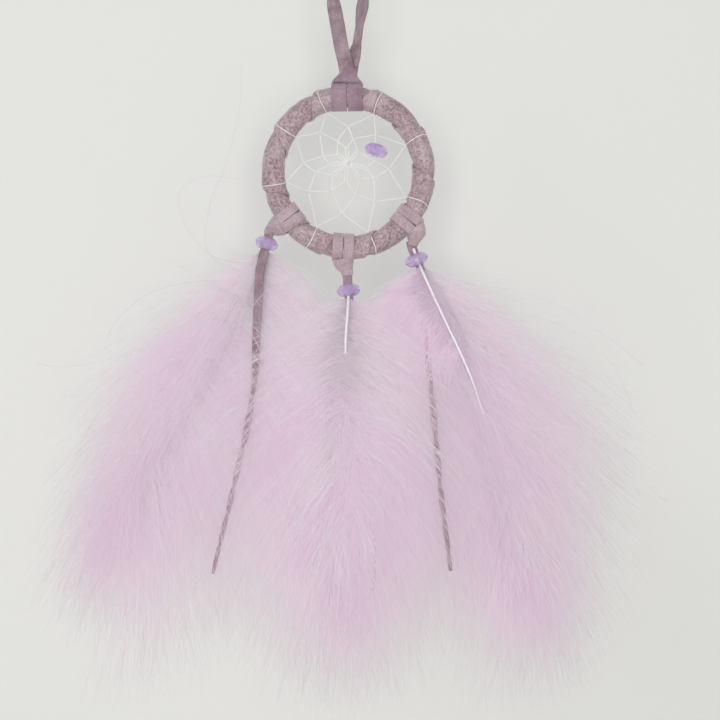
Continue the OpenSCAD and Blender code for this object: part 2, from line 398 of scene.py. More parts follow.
def wound_strip(name):
    verts, faces = [], []
    rounds = strip_turns * steps_round
    shares = [i / steps_across for i in range(steps_across + 1)]
    outline = [(v, 0) for v in shares] + [(v, 1) for v in reversed(shares)]
    for i in range(rounds + 1):
        turn = i / steps_round
        around = 360 * turn
        lag = front_lag * (1 - math.cos(math.radians(around))) / 2
        for v, under in outline:
            stray = 0
            if v > ragged_from:
                stray = ragged * noise_at(on_hoop(360 / strip_turns * turn, around, 4), 3.5, 7)
            angle = edge_angle(turn + (v - 1) * (1 + lap)) - lag + stray
            rise = min(v / lap_rise, 1)
            radius = wrap_radius - lap_step * (1 - rise * rise * (3 - 2 * rise))
            radius = radius - slope * (1 - v) - (edge_drop if v in (0, 1) else 0)
            radius += lip * max(0, v - lip_from) / 0.14 * (v < 1)
            spot = on_hoop(angle, around, radius)
            if under:
                radius -= edge_thick if v in (0, 1) else strip_thick
                radius = max(radius, least_radius)
            else:
                radius += 0.20 * noise_at(spot, 4) + 0.13 * noise_at(spot, 1.1, 3)
                radius += 0.09 * noise_at(spot, 0.45, 9)
            verts.append(on_hoop(angle, around, radius))
    n = len(outline)
    for i in range(rounds):
        for k in range(n):
            a, b = i * n + k, i * n + (k + 1) % n
            faces.append((a, b, b + n, a + n))
    faces.append(tuple(range(n - 1, -1, -1)))
    faces.append(tuple(range(rounds * n, (rounds + 1) * n)))
    mesh = bpy.data.meshes.new(name)
    mesh.from_pydata(verts, [], faces)
    mesh.polygons.foreach_set("use_smooth", [True] * len(mesh.polygons))
    mesh.materials.append(rough_suede)
    turn_outward(mesh)
    return link(name, mesh)


wrap = wound_strip("wrap_strip")


# Nap on the wrap: short hairs stand off the suede and blur its outline. They are grown on
# the strip by a node tree, each one a thin straight sliver.
def tree_nodes(name, inputs):
    """A geometry tree with named inputs, and short calls to add and join its nodes."""
    tree = bpy.data.node_groups.new(name, "GeometryNodeTree")
    tree.interface.new_socket("Geometry", in_out="INPUT", socket_type="NodeSocketGeometry")
    for label, kind, value in inputs:
        socket = tree.interface.new_socket(label, in_out="INPUT", socket_type=f"NodeSocket{kind}")
        if value is not None:
            socket.default_value = value
    tree.interface.new_socket("Geometry", in_out="OUTPUT", socket_type="NodeSocketGeometry")
    given = tree.nodes.new("NodeGroupInput")
    result = tree.nodes.new("NodeGroupOutput")

    def add(kind, *wires, **settings):
        node = tree.nodes.new(kind)
        for key, value in settings.items():
            setattr(node, key, value)
        for at, wire in enumerate(wires):
            if wire is None:
                continue
            socket = node.inputs[at]
            if isinstance(wire, bpy.types.NodeSocket):
                tree.links.new(wire, socket)
            else:
                socket.default_value = wire
        return node

    return tree, given, result, add


def grow(piece, tree, values):
    """Runs a tree on a piece and keeps the result as a plain mesh."""
    modifier = piece.modifiers.new(tree.name, "NODES")
    modifier.node_group = tree
    for item in tree.interface.items_tree:
        if item.in_out == "INPUT" and item.name in values:
            modifier[item.identifier] = values[item.name]
    result = piece.evaluated_get(bpy.context.evaluated_depsgraph_get())
    mesh = bpy.data.meshes.new_from_object(result)
    piece.modifiers.remove(modifier)
    return mesh


MATHS = "ShaderNodeMath"
hair_lean = 1.25
hair_lengths = (0.35, 1.3)


def nap_tree():
    tree, given, result, add = tree_nodes("nap", [
        ("Density", "Float", 1.0), ("Length", "Float", 0.0006), ("Width", "Float", 0.00005),
        ("Seed", "Int", 1), ("Material", "Material", None)])
    spots = add("GeometryNodeDistributePointsOnFaces", given.outputs["Geometry"])
    tree.links.new(given.outputs["Density"], spots.inputs["Density"])
    tree.links.new(given.outputs["Seed"], spots.inputs["Seed"])
    sliver = add("GeometryNodeMeshCone")
    sliver.inputs["Vertices"].default_value = 3
    sliver.inputs["Radius Bottom"].default_value = 0.5
    sliver.inputs["Radius Top"].default_value = 0.05
    sliver.inputs["Depth"].default_value = 1
    lean = add("FunctionNodeRandomValue", data_type="FLOAT_VECTOR")
    lean.inputs[0].default_value = (-hair_lean, -hair_lean, 0)
    lean.inputs[1].default_value = (hair_lean, hair_lean, 6.28)
    tree.links.new(given.outputs["Seed"], lean.inputs["Seed"])
    turned = add("FunctionNodeRotateRotation", rotation_space="LOCAL")
    tree.links.new(spots.outputs["Rotation"], turned.inputs[0])
    tree.links.new(lean.outputs[0], turned.inputs[1])
    vary = add("FunctionNodeRandomValue", data_type="FLOAT")
    vary.inputs[2].default_value, vary.inputs[3].default_value = hair_lengths
    tall = add(MATHS, given.outputs["Length"], vary.outputs[1], operation="MULTIPLY")
    size = add("ShaderNodeCombineXYZ", given.outputs["Width"], given.outputs["Width"],
               tall.outputs[0])
    hairs = add("GeometryNodeInstanceOnPoints")
    tree.links.new(spots.outputs["Points"], hairs.inputs["Points"])
    tree.links.new(sliver.outputs["Mesh"], hairs.inputs["Instance"])
    tree.links.new(turned.outputs[0], hairs.inputs["Rotation"])
    tree.links.new(size.outputs[0], hairs.inputs["Scale"])
    real = add("GeometryNodeRealizeInstances", hairs.outputs[0])
    dyed = add("GeometryNodeSetMaterial", real.outputs[0])
    tree.links.new(given.outputs["Material"], dyed.inputs["Material"])
    tree.links.new(dyed.outputs[0], result.inputs[0])
    return tree


nap = nap_tree()
hair_suede = suede("hair_suede", (0.66, 0.53, 0.56), (0.30, 0.21, 0.24), 900, 0.00005)


def napped(piece, name, density, length, width, seed):
    mesh = grow(piece, nap, {"Density": density, "Length": length * MM, "Width": width * MM,
                             "Seed": seed, "Material": hair_suede})
    mesh.name = name
    return link(name, mesh)


wrap_nap = napped(wrap, "wrap_nap", 1.6e6, 0.55, 0.07, 4)
for piece in (wrap, wrap_nap):
    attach(piece, "hoop")
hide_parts("ring_wrap")

# The tucked end of the wrap: the strip's last few millimetres, smooth side out, pulled under
# its own last turn on the front of the hoop.


def round_tube(name, angle, offset, width, thick, start, stop, radius, material):
    """A strip laid round the hoop's tube. It sits an offset along the hoop from an angle, and
    runs from the start to the stop angle around the tube, with both ends pushed in."""
    along = Vector((-math.sin(math.radians(angle)), 0, math.cos(math.radians(angle))))
    count = max(8, round((stop - start) / 6))
    path = []
    for i in range(count + 1):
        t = i / count
        sink = 0.9 * max(0, 1 - min(t, 1 - t) * count / 2)
        around = start + (stop - start) * t
        spot = on_hoop(angle, around, radius - sink) + along * offset * MM
        path.append(spot + along * 0.25 * MM * noise_at(spot, 3, 4))
    return sweep(name, path, [width * MM, width * MM * 1.03, width * MM * 0.97, width * MM],
                 [thick * MM] * 2, (90, 90), material, face=along)


def on_body(pieces, body, slot, *nodes):
    for piece in pieces:
        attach(piece, body)
    for piece, node in zip(pieces, nodes):
        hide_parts(node)


tab = round_tube("tucked_end", 72.5, 0, 3.1, 0.9, 42, 136, 4.4, worn_suede)
on_body([tab], "hoop", "wrap_suede", "wrap_end")

# The four hitches: each lace is folded in half and its loop passed round the hoop. Two flat
# turns lie side by side on the front, and the loop's fold closes over them like a collar.


def collar(name, route, half_widths, half_thicks, rise, material, steps=26):
    """A tapered sleeve along a route of x, z points. Its first edge arches up by rise."""
    path = smooth_path([place(x, 0, z) for x, z in route], 0.35 * MM)
    verts, faces = [], []
    for i, p in enumerate(path):
        t = i / (len(path) - 1)
        ahead = (path[min(i + 1, len(path) - 1)] - path[max(i - 1, 0)]).normalized()
        wide = ahead.cross(Vector((0, 1, 0))).normalized()
        w, h = even(half_widths, t) * MM, even(half_thicks, t) * MM
        for k in range(steps):
            c, s = math.cos(math.tau * k / steps), math.sin(math.tau * k / steps)
            c = math.copysign(abs(c) ** 0.75, c)
            s = math.copysign(abs(s) ** 0.75, s)
            arch = rise * MM * (1 - c * c) * (1 - t) ** 3
            spot = p + wide * w * c + Vector((0, h * s, 0)) + ahead * arch
            spot += (wide * c + Vector((0, s, 0))) * 0.14 * MM * noise_at(spot, 1.6, 2)
            verts.append(spot)
    for i in range(len(path) - 1):
        for k in range(steps):
            a, b = i * steps + k, i * steps + (k + 1) % steps
            faces.append((a, b, b + steps, a + steps))
    last = (len(path) - 1) * steps
    faces.append(tuple(range(steps - 1, -1, -1)))
    faces.append(tuple(range(last, last + steps)))
    mesh = bpy.data.meshes.new(name)
    mesh.from_pydata(verts, [], faces)
    mesh.polygons.foreach_set("use_smooth", [True] * (len(faces) - 2) + [False] * 2)
    mesh.materials.append(material)
    turn_outward(mesh)
    return link(name, mesh)


band_gap = 0.34
band_thick = 0.85
band_radius = 4.5
band_start, band_stop = -50, 410


def hitch(side, angle, width, route, half_widths, half_thicks, rise, material):
    turns = [round_tube(f"{side}_turn_{k + 1}", angle, way * (width + band_gap) / 2, width,
                        band_thick, band_start, band_stop, band_radius, material)
             for k, way in enumerate((1, -1))]
    fold = collar(f"{side}_collar", route, half_widths, half_thicks, rise, material)
    on_body([fold] + turns, "hoop", "lace_suede", f"{side}_hitch")


hitch("top", 91, 5.2, ((-0.4, 30.2), (-0.3, 32), (-0.1, 34), (0, 35.9)),
      (5.5, 5.3, 4.2, 3.3, 2.9, 2.8), (3.1, 2.7, 2.1, 1.7, 1.5, 1.4), 1.2, smooth_suede)
hitch("left", 218, 3.3, ((-22.8, -17.8), (-25.2, -19), (-27.2, -20.3), (-27.5, -21.6)),
      (3.9, 3.8, 3.1, 2.0, 1.5), (3.1, 2.8, 2.2, 1.6, 1.1), 1.5,
      worn_suede)
hitch("middle", 266, 3.4, ((-2, -29.2), (-1.5, -31.4), (-0.6, -34), (-0.3, -35.8)),
      (3.8, 3.7, 3.0, 2.1, 1.8), (3.5, 3.0, 2.1, 1.5, 1.3), 1.0,
      worn_suede)
hitch("right", 321, 3.3, ((22.3, -18.3), (23.3, -20.6), (22.7, -23.2), (22.1, -25.4)),
      (3.8, 3.7, 3.0, 2.1, 1.6), (3.1, 2.8, 2.2, 1.6, 1.2), 1.4,
      worn_suede)

# The necks: where each lace leaves its hitch. The hanger's is two strips face to face, and
# each pendant's is one lace pinched round before it enters the bead.
above_bead = (-6.9, -4.8, -2.4, -0.6)
neck_legs = [sweep(f"hanger_neck_{name}", smooth_path([place(*p) for p in route], 0.5 * MM),
                   [5.1 * MM, 5.0 * MM], [1.2 * MM] * 2, turns, lace_suede)
             for name, route, turns in (
                 ("front", ((-0.5, -0.62, 34), (-0.9, -0.7, 36.5), (-1.45, -0.9, 39.5)), (0, 0)),
                 ("back", ((0.5, 0.62, 34), (0.9, 0.7, 36.5), (1.45, 0.9, 39.5)), (0, -16)))]
for leg in neck_legs:
    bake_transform(leg)
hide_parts("hanger_neck")

for side, (bead_x, bead_z) in bead_places.items():
    lean = math.radians(lace_leans[side])
    down_x, down_z = math.sin(lean), -math.cos(lean)
    route = [place(bead_x + down_x * s, 0.1, bead_z + down_z * s) for s in above_bead]
    neck = sweep(f"{side}_lace_neck", smooth_path(route, 0.4 * MM),
                 [2.6 * MM, 3.3 * MM, 3.1 * MM, 2.9 * MM], [1.5 * MM, 1.5 * MM], (0, 14),
                 lace_suede)
    on_body([neck], f"{side}_neck", "lace_suede", f"{side}_neck")

# The knot: both halves of the lace tied together in one overhand knot above the loop, with
# two short ends left standing.
knot_middle = Vector((0, 0, 0.0043))
knot_steps = 40


def knot_turn(name, size, tilt, twist, start, sweep_angle, width):
    count = knot_steps
    lean = (Matrix.Rotation(math.radians(twist), 3, "Z")
            @ Matrix.Rotation(math.radians(tilt), 3, "X"))
    path = []
    for i in range(count + 1):
        a = math.radians(start + sweep_angle * i / count)
        path.append(knot_middle + lean @ Vector((size[0] * math.cos(a), size[1] * math.sin(a),
                                                 size[2] * math.sin(a / 2))) * MM)
    face = lean @ Vector((0, 0, 1))
    return sweep(name, path, [width * MM] * 2, [1.3 * MM] * 2, (90, 90), smooth_suede, face=face)


knot = [knot_turn("knot_turn_1", (4.1, 3.3, 0.8), 24, 10, 0, 350, 4.6),
        knot_turn("knot_turn_2", (3.9, 3.5, -0.8), -34, 70, 20, 345, 4.2),
        knot_turn("knot_turn_3", (3.0, 2.6, 1.5), 62, -30, 10, 320, 3.8)]
ends = [sweep(f"knot_end_{k + 1}", smooth_path([place(way * x, y, z) for x, y, z in (
            (0.6, 0, 75), (1.6, 0.1 * way, 79), (2.9, 0.3 * way, 83.4), (3.6, 0.2, 87))], 0.5 * MM),
              [5.0 * MM] * 2, [1.2 * MM] * 2, (88, 96), lace_suede)
        for k, way in enumerate((1, -1))]
on_body(knot, "hanger", "lace_suede", "hang_knot")
on_body(ends, "hanger", "lace_suede", "knot_ends")

# The web: one white twisted thread, hitched to the hoop eight times and then worked inwards
# in three rows, each looped round the middle of the row outside it. A knot ends it.
web_thread, nodes, links, shader = new_material("white_thread")
grain = nodes.new("ShaderNodeUVMap")
grain.uv_map = "grain"
plies = nodes.new("ShaderNodeTexWave")
plies.bands_direction = "DIAGONAL"
plies.inputs["Scale"].default_value = 900
bump = nodes.new("ShaderNodeBump")
bump.inputs["Strength"].default_value = 0.5
bump.inputs["Distance"].default_value = 0.00006
# Painted shade: the white thread is coloured greyer in the grooves between its plies, where the
# bump sinks, and whiter on the plies' crowns.
ply_groove_shade = nodes.new("ShaderNodeValToRGB")
ply_groove_shade.color_ramp.elements[0].color = (0.84, 0.83, 0.81, 1)
ply_groove_shade.color_ramp.elements[1].color = (0.98, 0.98, 0.96, 1)
links.new(grain.outputs["UV"], plies.inputs["Vector"])
links.new(plies.outputs["Fac"], bump.inputs["Height"])
links.new(plies.outputs["Fac"], ply_groove_shade.inputs["Fac"])
links.new(ply_groove_shade.outputs["Color"], shader.inputs["Base Color"])
links.new(bump.outputs["Normal"], shader.inputs["Normal"])
shader.inputs["Roughness"].default_value = 0.75


def round_section(half_width, half_thick):
    return [(half_width * math.cos(math.tau * k / 8), half_thick * math.sin(math.tau * k / 8))
            for k in range(8)]


thread_size = 0.52 * MM
anchor_angles = (110, 146, 189, 240, 288, 336, 25, 66)
anchor_radius = 21.9
anchors = [(anchor_radius * math.cos(math.radians(a)), anchor_radius * math.sin(math.radians(a)))
           for a in anchor_angles]
row_one = [(-9.9, 13.7), (-15.7, 3.4), (-13.7, -6.7), (-2.4, -14.3), (9.2, -10), (14, 1.2),
           (9.4, 13), (0, 15.9)]
row_two = [(-8.8, 5.5), (-11.4, 0.1), (-5.7, -6.4), (2.5, -7.6), (8.8, -2), (9.2, 3.9),
           (1.6, 11.6), (-3.8, 10.8)]
row_three = [(-6.5, 2.6), (-5.4, -0.9), (-0.9, -2.9), (3.7, -2), (6, 1.4), (3.4, 7.2),
             (-0.6, 8.3), (-3.8, 6.2)]
hub = (-0.2, 3.4)
weave = 0.3


def thread(name, points, step=0.8, size=thread_size, shake=0.12):
    path = []
    for a, b in zip(points, points[1:]):
        count = max(2, round((b - a).length / (step * MM)))
        path += [a + (b - a) * (i / count) for i in range(count)]
    path.append(points[-1])
    path = [p + Vector((noise_at(p, 5), noise_at(p, 5, 3), noise_at(p, 5, 6))) * shake * MM
            for p in path]
    return sweep(name, path, [size] * 2, [size] * 2, (0, 0), web_thread, section=round_section)


def woven_row(outer, inner):
    points = []
    for a, b in zip(outer, inner):
        points += [place(a[0], -weave, a[1]), place(b[0], weave, b[1])]
    return points + [place(outer[0][0], -3 * weave, outer[0][1])]


def loop_at(name, at, size, tilt):
    """A half hitch: one small turn of thread round the strand that it hangs from."""
    turn = Matrix.Rotation(math.radians(tilt), 3, "Y")
    path = [at + turn @ Vector((math.cos(a) * size, math.sin(a) * size, (a - math.pi) * size * 0.1))
            for a in (math.tau * i / 12 for i in range(13))]
    return sweep(name, path, [thread_size * 0.8] * 2, [thread_size * 0.8] * 2, (0, 0),
                 web_thread, face=Vector((0.1, 0.3, 1)), section=round_section)


rows = [thread(f"web_row_{k + 1}", woven_row(outer, inner)) for k, (outer, inner) in
        enumerate(((anchors, row_one), (row_one, row_two), (row_two, row_three)))]
petals = []
petal_half = 0.42
for k, (x, z) in enumerate(row_three):
    reach = Vector((x - hub[0], 0, z - hub[1]))
    aside = Vector((-reach.z, 0, reach.x)).normalized() * petal_half
    start = Vector((hub[0], weave, hub[1]))
    tip = start + reach
    way = [start, start + reach * 0.55 + aside * 1.1, tip + aside, tip + reach * 0.06,
           tip - aside, start + reach * 0.55 - aside * 1.1, start]
    petals.append(thread(f"web_petal_{k + 1}", smooth_path([place(*p) for p in way], 0.5 * MM)))
hitches = [loop_at(f"web_hitch_{k + 1}", place(x, 0, z), 0.42 * MM, 37 * k)
           for k, (x, z) in enumerate(row_one + row_two + row_three)]
hub_knot = [loop_at(f"web_knot_{k + 1}", place(hub[0], 0.1, hub[1]), size * MM, 60 * k)
            for k, size in enumerate((0.7, 0.5, 0.8))]
ties = []
for k, angle in enumerate(anchor_angles):
    circle = [on_hoop(angle + 1.5 * math.sin(math.radians(a)), a, 4.05) for a in range(0, 361, 12)]
    ties.append(thread(f"web_tie_{k + 1}", circle, size=0.36 * MM, shake=0.3))
loose_ends = [thread(f"web_end_{k + 1}", smooth_path([place(*p) for p in way], 0.3 * MM),
                     size=0.3 * MM, shake=0.4)
              for k, way in enumerate((
                  ((9.2, -0.1, -10), (9.5, -1, -9), (9.1, -1.6, -8), (9.9, -2, -7.3)),
                  ((18.6, -0.2, -8.6), (18.2, -0.8, -7.6), (18.7, -1.2, -6.9)),
                  ((-0.2, 0.2, 3.4), (1.4, -0.9, 0.4), (1.9, -1.4, -1.8), (2.6, -1.2, -5.4)),
                  ((-0.2, 0.1, 3.4), (-1.3, -0.8, 0.6), (0.2, -1.3, -1.2), (1.6, -1.1, -4.6))))]
on_body(rows, "hoop", "thread", "web_thread")
on_body(petals + hub_knot, "hoop", "thread", "web_hub")
on_body(ties, "hoop", "thread", "thread_ties")
on_body(hitches + loose_ends, "hoop", "thread")

# The beads: moulded lilac acrylic, cut all round in flat facets and bored for the lace.
lilac_acrylic, nodes, links, shader = new_material("lilac_acrylic")
coords = nodes.new("ShaderNodeTexCoord")
swirl = nodes.new("ShaderNodeTexNoise")
swirl.inputs["Scale"].default_value = 260
swirl.inputs["Detail"].default_value = 2
bead_tint = nodes.new("ShaderNodeValToRGB")
bead_tint.color_ramp.elements[0].position = 0.35
bead_tint.color_ramp.elements[0].color = (0.72, 0.50, 0.94, 1)
bead_tint.color_ramp.elements[1].position = 0.65
bead_tint.color_ramp.elements[1].color = (0.90, 0.76, 1.0, 1)
links.new(coords.outputs["Object"], swirl.inputs["Vector"])
links.new(swirl.outputs["Fac"], bead_tint.inputs["Fac"])
links.new(bead_tint.outputs["Color"], shader.inputs["Base Color"])
shader.inputs["Roughness"].default_value = 0.05
shader.inputs["Transmission Weight"].default_value = 0.65
shader.inputs["IOR"].default_value = 1.49
shader.inputs["Coat Weight"].default_value = 1

bead_radius = 4.15
bead_facets = 11
# Per ring of the bead's outline: distance from its axis, height, and half a facet's turn or not.
bead_rings = ((0, 2.0, 0), (0.66, 2.05, 0), (0.86, 1.35, 1), (1, 0.35, 0), (1, -0.35, 1),
              (0.86, -1.35, 0), (0.66, -2.05, 1), (0, -2.0, 1))


def cut_bead(name, at, lean, bore, nod=0):
    """A faceted bead. Lean tips it in the picture plane, nod tips its top to the front."""
    verts, faces = [], []
    for share, height, shift in bead_rings:
        for k in range(bead_facets):
            a = math.tau * (k + shift / 2) / bead_facets
            r = share * bead_radius if share else bore
            verts.append(Vector((r * math.cos(a), r * math.sin(a), height)))
    n, rings = bead_facets, len(bead_rings)
    for i in range(rings):
        j = (i + 1) % rings
        same = bead_rings[i][2] == bead_rings[j][2]
        for k in range(n):
            a, b = i * n + k, i * n + (k + 1) % n
            c, d = j * n + k, j * n + (k + 1) % n
            if same:
                faces.append((a, b, d, c))
            elif bead_rings[j][2]:
                faces += [(a, b, c), (b, d, c)]
            else:
                faces += [(a, b, d), (a, d, c)]
    turn = Matrix.Rotation(math.radians(lean), 3, "Y") @ Matrix.Rotation(math.radians(nod), 3, "X")
    mesh = bpy.data.meshes.new(name)
    mesh.from_pydata([place(*at) + turn @ v * MM for v in verts], [], faces)
    mesh.materials.append(lilac_acrylic)
    turn_outward(mesh)
    return link(name, mesh)


for side, (x, z) in bead_places.items():
    bead = cut_bead(f"{side}_cut_bead", (x, 0, z), -lace_leans[side], 1.75)
    on_body([bead], f"{side}_bead", "bead", f"{side}_bead")
bead = cut_bead("web_cut_bead", (9.6, 0, 7.6), 16, 1.2)
on_body([bead], "web_bead", "bead", "web_bead")

# The feathers: three marabou plumes. A pale shaft leaves each bead, and soft barbs grow all
# down both of its sides, arch outwards and then droop. They are dyed lilac, palest at the tips.
shaft_horn, nodes, links, shader = new_material("shaft_horn")
coords = nodes.new("ShaderNodeTexCoord")
fibre = nodes.new("ShaderNodeTexNoise")
fibre.inputs["Scale"].default_value = 1400
horn_tint = nodes.new("ShaderNodeValToRGB")
horn_tint.color_ramp.elements[0].color = (0.82, 0.70, 0.82, 1)
horn_tint.color_ramp.elements[1].color = (0.95, 0.90, 0.95, 1)
links.new(coords.outputs["Object"], fibre.inputs["Vector"])
links.new(fibre.outputs["Fac"], horn_tint.inputs["Fac"])
links.new(horn_tint.outputs["Color"], shader.inputs["Base Color"])
shader.inputs["Roughness"].default_value = 0.4
shader.inputs["Subsurface Weight"].default_value = 0.2
shader.inputs["Subsurface Radius"].default_value = (0.0004, 0.0003, 0.0004)

tone_share = 0.42
let_through = 0.87      # share of a shadow that light comes through, as barbs are so thin
down, nodes, links, shader = new_material("dyed_down")
along = nodes.new("ShaderNodeAttribute")
along.attribute_name = "along"
tone = nodes.new("ShaderNodeAttribute")
tone.attribute_name = "tone"
fade = nodes.new("ShaderNodeMath")
fade.operation = "MULTIPLY_ADD"
fade.inputs[1].default_value = tone_share
dye = nodes.new("ShaderNodeValToRGB")
dye.color_ramp.elements[0].color = (0.98, 0.855, 0.95, 1)
dye.color_ramp.elements[1].position = 0.8
dye.color_ramp.elements[1].color = (0.985, 0.975, 0.975, 1)
dye.color_ramp.elements.new(0.4).color = (0.98, 0.915, 0.96, 1)
through = nodes.new("ShaderNodeBsdfTranslucent")
lit = nodes.new("ShaderNodeMixShader")
lit.inputs["Fac"].default_value = 0.5
thin = nodes.new("ShaderNodeBsdfTransparent")
rays = nodes.new("ShaderNodeLightPath")
airy = nodes.new("ShaderNodeMath")
airy.operation = "MULTIPLY"
airy.inputs[1].default_value = let_through
sheer = nodes.new("ShaderNodeMixShader")
links.new(tone.outputs["Fac"], fade.inputs[0])
links.new(along.outputs["Fac"], fade.inputs[2])
links.new(fade.outputs[0], dye.inputs["Fac"])
links.new(dye.outputs["Color"], shader.inputs["Base Color"])
links.new(dye.outputs["Color"], through.inputs["Color"])
links.new(shader.outputs["BSDF"], lit.inputs[1])
links.new(through.outputs["BSDF"], lit.inputs[2])
links.new(rays.outputs["Is Shadow Ray"], airy.inputs[0])
links.new(airy.outputs[0], sheer.inputs["Fac"])
links.new(lit.outputs["Shader"], sheer.inputs[1])
links.new(thin.outputs["BSDF"], sheer.inputs[2])
links.new(sheer.outputs["Shader"], nodes["Material Output"].inputs["Surface"])
shader.inputs["Roughness"].default_value = 0.7
shader.inputs["Specular IOR Level"].default_value = 0.2

barb_sides = 3
barb_bends = 5
barb_lengths = (0.35, 1.25)     # shares of the given length
start_spread = 0.3
end_spread = 0.35
clump_turn = 0.6
root_spread = 0.005
thinning = -0.78


def barb_tree():
    """Barbs along the shaft given as a line of points. A barb leaves the shaft at its start
    angle, measured outwards from straight down, and turns evenly to its end angle."""
    tree, given, result, add = tree_nodes("barbs", [
        ("Count", "Int", 100), ("Seed", "Int", 1), ("Material", "Material", None),
        ("Side", "Float", 1.0), ("Length", "Float", 0.07), ("Last Length", "Float", 0.06),
        ("Start Angle", "Float", 1.1), ("Last Start Angle", "Float", 0.7),
        ("End Angle", "Float", 0.3), ("Last End Angle", "Float", 0.3),
        ("Forward", "Float", 0.0), ("Depth", "Float", 0.009), ("Width", "Float", 0.0001),
        ("Paleness", "Float", 0.0)])

    def calc(operation, *wires):
        return add(MATHS, *wires, operation=operation).outputs[0]

    shaft = add("GeometryNodeMeshToCurve", given.outputs["Geometry"])
    roots = add("GeometryNodeMeshLine", mode="OFFSET")
    roots.inputs["Offset"].default_value = (0, 0, 0)
    tree.links.new(given.outputs["Count"], roots.inputs["Count"])
    tube = add("GeometryNodeMeshCylinder", fill_type="NGON")
    tube.inputs["Vertices"].default_value = barb_sides
    tube.inputs["Side Segments"].default_value = barb_bends
    tube.inputs["Radius"].default_value = 1
    tube.inputs["Depth"].default_value = 1
    copies = add("GeometryNodeInstanceOnPoints", roots.outputs["Mesh"])
    tree.links.new(tube.outputs["Mesh"], copies.inputs["Instance"])
    real = add("GeometryNodeRealizeInstances", copies.outputs[0])

    number = calc("FLOOR", calc("DIVIDE", add("GeometryNodeInputIndex").outputs[0],
                                float(barb_sides * (barb_bends + 1))))

    def chance(low, high, salt):
        node = add("FunctionNodeRandomValue", data_type="FLOAT")
        node.inputs[2].default_value = low
        node.inputs[3].default_value = high
        tree.links.new(number, node.inputs["ID"])
        tree.links.new(calc("ADD", given.outputs["Seed"], float(salt)), node.inputs["Seed"])
        return node.outputs[1]

    def drift(where, scale, salt):
        """Smooth noise between about -0.5 and 0.5, alike for neighbours on the shaft."""
        spot = add("ShaderNodeCombineXYZ", where, calc("MULTIPLY", given.outputs["Seed"], 3.7),
                   float(salt))
        node = add("ShaderNodeTexNoise")
        tree.links.new(spot.outputs[0], node.inputs["Vector"])
        node.inputs["Scale"].default_value = scale
        node.inputs["Detail"].default_value = 1
        return calc("SUBTRACT", node.outputs[0], 0.5)

    def between(low, high, share):
        return calc("MULTIPLY_ADD", calc("SUBTRACT", high, low), share, low)

    at = calc("DIVIDE", calc("ADD", number, chance(0, 1, 1)), given.outputs["Count"])
    root = add("GeometryNodeSampleCurve", mode="FACTOR")
    tree.links.new(shaft.outputs[0], root.inputs["Curves"])
    tree.links.new(at, root.inputs["Factor"])
    foot = add("ShaderNodeSeparateXYZ", root.outputs["Position"]).outputs
    local = add("ShaderNodeSeparateXYZ", add("GeometryNodeInputPosition").outputs[0]).outputs
    run = calc("ADD", local[2], 0.5)
    size = calc("MULTIPLY", between(given.outputs["Length"], given.outputs["Last Length"], at),
                calc("MULTIPLY", chance(*barb_lengths, 2),
                     calc("MINIMUM", calc("MULTIPLY_ADD", at, 3.0, 0.5), 1.0)))
    late = calc("POWER", at, 1.8)
    start = between(given.outputs["Start Angle"], given.outputs["Last Start Angle"], late)
    start = calc("ADD", start, calc("MULTIPLY_ADD", drift(at, 30, 1), clump_turn,
                                    chance(-start_spread, start_spread, 3)))
    end = between(given.outputs["End Angle"], given.outputs["Last End Angle"], late)
    end = calc("ADD", end, calc("MULTIPLY_ADD", drift(at, 23, 2), clump_turn,
                                chance(-end_spread, end_spread, 4)))
    turn = calc("MINIMUM", calc("SUBTRACT", end, start), -0.05)
    angle = calc("MULTIPLY_ADD", turn, run, start)
    reach = calc("DIVIDE", size, turn)
    out = calc("MULTIPLY", reach, calc("SUBTRACT", calc("COSINE", start), calc("COSINE", angle)))
    drop = calc("MULTIPLY", reach, calc("SUBTRACT", calc("SINE", angle), calc("SINE", start)))
    eased = calc("MULTIPLY", run, calc("SUBTRACT", 2.0, run))

    sway = calc("MULTIPLY", drift(calc("MULTIPLY_ADD", run, 0.11, calc("MULTIPLY", number, 7.3)),
                                  11, 5), calc("MULTIPLY", run, size))
    thick = calc("MULTIPLY", calc("MULTIPLY", given.outputs["Width"], chance(0.7, 1.3, 6)),
                 calc("MULTIPLY_ADD", run, thinning, 1.0))
    wide = calc("MULTIPLY_ADD", local[0], thick, calc("MULTIPLY", sway, 0.22))
    astray = calc("MULTIPLY", chance(-root_spread, root_spread, 10),
                  calc("MINIMUM", calc("MULTIPLY", at, 5.0), 1.0))
    x = calc("MULTIPLY_ADD", given.outputs["Side"],
             calc("MULTIPLY_ADD", calc("COSINE", angle), wide, out), calc("ADD", foot[0], astray))
    z = calc("SUBTRACT", calc("MULTIPLY_ADD", calc("SINE", angle), wide, foot[2]), drop)
    deep = calc("MULTIPLY_ADD", given.outputs["Depth"], chance(-1, 1, 7), given.outputs["Forward"])
    y = calc("MULTIPLY_ADD", deep, eased, calc("MULTIPLY_ADD", local[1], thick, foot[1]))
    y = calc("MULTIPLY_ADD", calc("MULTIPLY", drift(at, 40, 8), eased), 0.006, y)
    placed = add("GeometryNodeSetPosition", real.outputs[0])
    tree.links.new(add("ShaderNodeCombineXYZ", x, y, z).outputs[0], placed.inputs["Position"])

    tone = calc("MULTIPLY_ADD", drift(at, 9, 4), 1.6, chance(-0.8, 0.8, 9))
    tone = calc("ADD", tone, given.outputs["Paleness"])
    kept = placed.outputs[0]
    for label, wire in (("along", run), ("tone", tone)):
        store = add("GeometryNodeStoreNamedAttribute", kept, data_type="FLOAT", domain="POINT")
        store.inputs["Name"].default_value = label
        tree.links.new(wire, store.inputs["Value"])
        kept = store.outputs[0]
    dyed = add("GeometryNodeSetMaterial", kept)
    tree.links.new(given.outputs["Material"], dyed.inputs["Material"])
    tree.links.new(dyed.outputs[0], result.inputs[0])
    return tree


